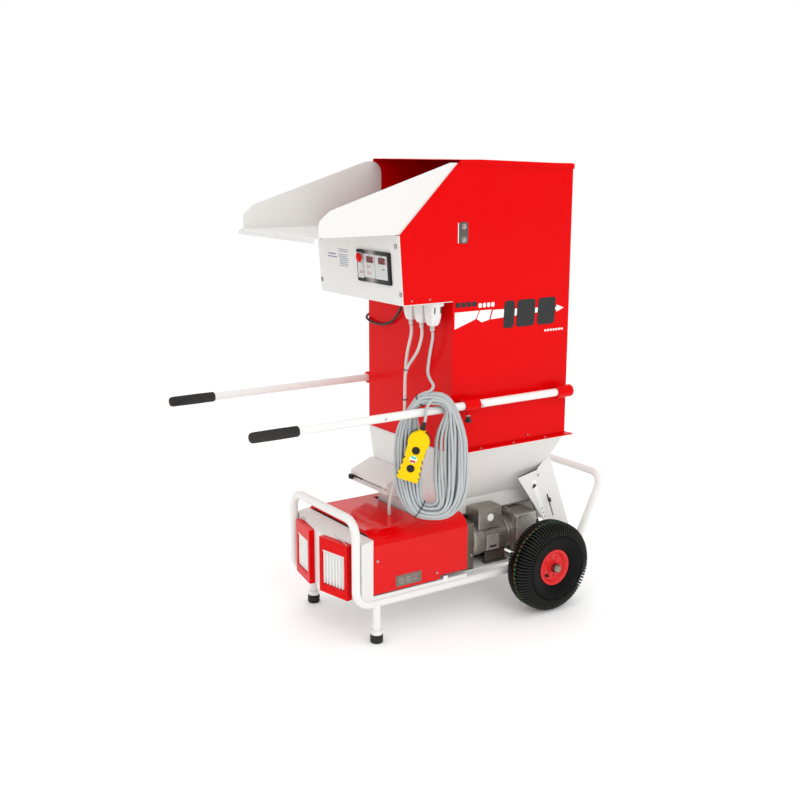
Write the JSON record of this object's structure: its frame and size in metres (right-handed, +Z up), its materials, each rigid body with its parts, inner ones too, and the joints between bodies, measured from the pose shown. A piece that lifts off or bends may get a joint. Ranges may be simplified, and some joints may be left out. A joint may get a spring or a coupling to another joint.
{
  "type": "insulation blowing machine",
  "caption": "Wheeled hopper machine that feeds loose insulation through a rotary airlock into a blower, with pull-out handles, tray, keypad panel and a cabled hand control.",
  "frame": {"origin": "on the floor, in the middle of the machine's bounding box without its cables", "axes": "+Z up, -Y towards the operator at the feed tray and the handles' grips, +X the side with the motor's terminal box and the hung cable"},
  "size_m": [0.6781, 1.4, 1.4557],
  "materials": {
    "agitator": "plain steel",
    "airlock_housing": "galvanised sheet",
    "airlock_rotor": "plain steel",
    "axle": "plain steel",
    "base_plate": "off-white powder coat",
    "blower_cover": "gloss red powder coat",
    "blower_housing": "off-white powder coat",
    "button_start": "black plastic",
    "button_stop": "black plastic",
    "cable_coil": "grey cable sheath",
    "chain_cover": "off-white powder coat",
    "coil_lead": "grey cable sheath",
    "connectors": "white plastic",
    "control_panel": "off-white powder coat",
    "display": "black plastic",
    "drive_chain": "plain steel",
    "emergency_stop": "red plastic",
    "feed_tray": "off-white powder coat",
    "filter_frame_left": "gloss red powder coat",
    "filter_frame_right": "gloss red powder coat",
    "filter_left": "white pleated filter paper",
    "filter_right": "white pleated filter paper",
    "foot_left": "black rubber",
    "foot_right": "black rubber",
    "front_hoop": "off-white powder coat",
    "funnel": "off-white powder coat",
    "gate_housing": "off-white powder coat",
    "gate_slider": "black plastic",
    "gearbox": "grey-brown paint",
    "grip_left": "black rubber",
    "grip_right": "black rubber",
    "handle_left": "off-white powder coat",
    "handle_right": "off-white powder coat",
    "hopper_front": "gloss red powder coat",
    "hopper_rear": "gloss red powder coat",
    "hopper_side_left": "gloss red powder coat",
    "hopper_side_right": "gloss red powder coat",
    "index_plunger_left": "black plastic",
    "index_plunger_right": "black plastic",
    "lid": "gloss red powder coat",
    "motor": "grey-brown paint",
    "motor_cables": "grey cable sheath",
    "motor_sprocket": "plain steel",
    "pendant": "yellow plastic",
    "pendant_cable": "grey cable sheath",
    "rail_left": "off-white powder coat",
    "rail_right": "off-white powder coat",
    "rear_hoop": "off-white powder coat",
    "rim_left": "gloss red powder coat",
    "rim_right": "gloss red powder coat",
    "side_cable": "black rubber",
    "side_slider": "black plastic",
    "sleeve_front_left": "gloss red powder coat",
    "sleeve_front_right": "gloss red powder coat",
    "sleeve_rear_left": "gloss red powder coat",
    "sleeve_rear_right": "gloss red powder coat",
    "turbine_left": "die-cast aluminium",
    "turbine_right": "die-cast aluminium",
    "tyre_left": "black tyre rubber",
    "tyre_right": "black tyre rubber"
  },
  "bodies": {
    "machine": {"airlock_housing": "airlock_housing", "axle": "axle", "base_plate": "base_plate", "blower_cover": "blower_cover", "blower_housing": "blower_housing", "cable_coil": "cable_coil", "chain_cover": "chain_cover", "coil_lead": "coil_lead", "connectors": "connectors", "control_panel": "control_panel", "display": "display", "drive_chain": "drive_chain", "feed_tray": "feed_tray", "filter_frame_left": "filter_frame_left", "filter_frame_right": "filter_frame_right", "filter_left": "filter_left", "filter_right": "filter_right", "foot_left": "foot_left", "foot_right": "foot_right", "front_hoop": "front_hoop", "funnel": "funnel", "gate_housing": "gate_housing", "gearbox": "gearbox", "hopper_front": "hopper_front", "hopper_rear": "hopper_rear", "hopper_side_left": "hopper_side_left", "hopper_side_right": "hopper_side_right", "motor": "motor", "motor_cables": "motor_cables", "pendant": "pendant", "pendant_cable": "pendant_cable", "rail_left": "rail_left", "rail_right": "rail_right", "rear_hoop": "rear_hoop", "side_cable": "side_cable", "sleeve_front_left": "sleeve_front_left", "sleeve_front_right": "sleeve_front_right", "sleeve_rear_left": "sleeve_rear_left", "sleeve_rear_right": "sleeve_rear_right", "turbine_left": "turbine_left", "turbine_right": "turbine_right"},
    "wheel_right": {"tyre_right": "tyre_right", "rim_right": "rim_right"},
    "wheel_left": {"tyre_left": "tyre_left", "rim_left": "rim_left"},
    "handle_right": {"handle_right": "handle_right", "grip_right": "grip_right"},
    "handle_left": {"handle_left": "handle_left", "grip_left": "grip_left"},
    "plunger_right": {"index_plunger_right": "index_plunger_right"},
    "plunger_left": {"index_plunger_left": "index_plunger_left"},
    "lid": {"lid": "lid"},
    "gate": {"gate_slider": "gate_slider"},
    "side_slider": {"side_slider": "side_slider"},
    "stop": {"emergency_stop": "emergency_stop"},
    "button_start": {"button_start": "button_start"},
    "button_stop": {"button_stop": "button_stop"},
    "rotor": {"airlock_rotor": "airlock_rotor"},
    "agitator": {"agitator": "agitator"},
    "drive": {"motor_sprocket": "motor_sprocket"}
  },
  "joints": [
    {"name": "wheel_right_roll", "type": "hinge", "parent": "machine", "child": "wheel_right", "pos_m": [0.279, 0.37, 0.15], "axis": [1, 0, 0], "continuous": true},
    {"name": "wheel_left_roll", "type": "hinge", "parent": "machine", "child": "wheel_left", "pos_m": [-0.279, 0.37, 0.15], "axis": [1, 0, 0], "continuous": true},
    {"name": "handle_right_slide", "type": "slide", "parent": "machine", "child": "handle_right", "axis": [0, 1, 0], "range_m": [0, 0.307]},
    {"name": "plunger_right_pull", "type": "slide", "parent": "machine", "child": "plunger_right", "axis": [0, 0, -1], "range_m": [0, 0.008], "stiffness_N_per_m": 400, "springref_m": -0.004},
    {"name": "handle_left_slide", "type": "slide", "parent": "machine", "child": "handle_left", "axis": [0, 1, 0], "range_m": [0, 0.307]},
    {"name": "plunger_left_pull", "type": "slide", "parent": "machine", "child": "plunger_left", "axis": [0, 0, -1], "range_m": [0, 0.008], "stiffness_N_per_m": 400, "springref_m": -0.004},
    {"name": "lid_hinge", "type": "hinge", "parent": "machine", "child": "lid", "pos_m": [0, 0.4695, 1.4402], "axis": [-1, 0, 0], "range_deg": [0, 100]},
    {"name": "gate_slide", "type": "slide", "parent": "machine", "child": "gate", "axis": [1, 0, 0], "range_m": [0, 0.15]},
    {"name": "side_slide", "type": "slide", "parent": "machine", "child": "side_slider", "axis": [0, 0.3533, -0.9355], "range_m": [0, 0.05]},
    {"name": "stop_press", "type": "slide", "parent": "machine", "child": "stop", "axis": [0, 0.9973, 0.074], "range_m": [0, 0.004]},
    {"name": "button_start_press", "type": "slide", "parent": "machine", "child": "button_start", "axis": [-0.766, 0.6428, 0], "range_m": [0, 0.003], "stiffness_N_per_m": 300, "springref_m": -0.002},
    {"name": "button_stop_press", "type": "slide", "parent": "machine", "child": "button_stop", "axis": [-0.766, 0.6428, 0], "range_m": [0, 0.003], "stiffness_N_per_m": 300, "springref_m": -0.002},
    {"name": "rotor_spin", "type": "hinge", "parent": "machine", "child": "rotor", "pos_m": [-0.03, 0.2, 0.236], "axis": [0, 1, 0], "continuous": true},
    {"name": "agitator_spin", "type": "hinge", "parent": "machine", "child": "agitator", "pos_m": [-0.01, 0.2, 0.425], "axis": [0, 1, 0], "continuous": true},
    {"name": "drive_spin", "type": "hinge", "parent": "machine", "child": "drive", "pos_m": [0.107, 0.44, 0.228], "axis": [0, 1, 0], "continuous": true}
  ],
  "couplings": [
    {"joint": "agitator_spin", "follows": "rotor_spin", "ratio": 0.8},
    {"joint": "drive_spin", "follows": "rotor_spin", "ratio": 1.3333}
  ]
}
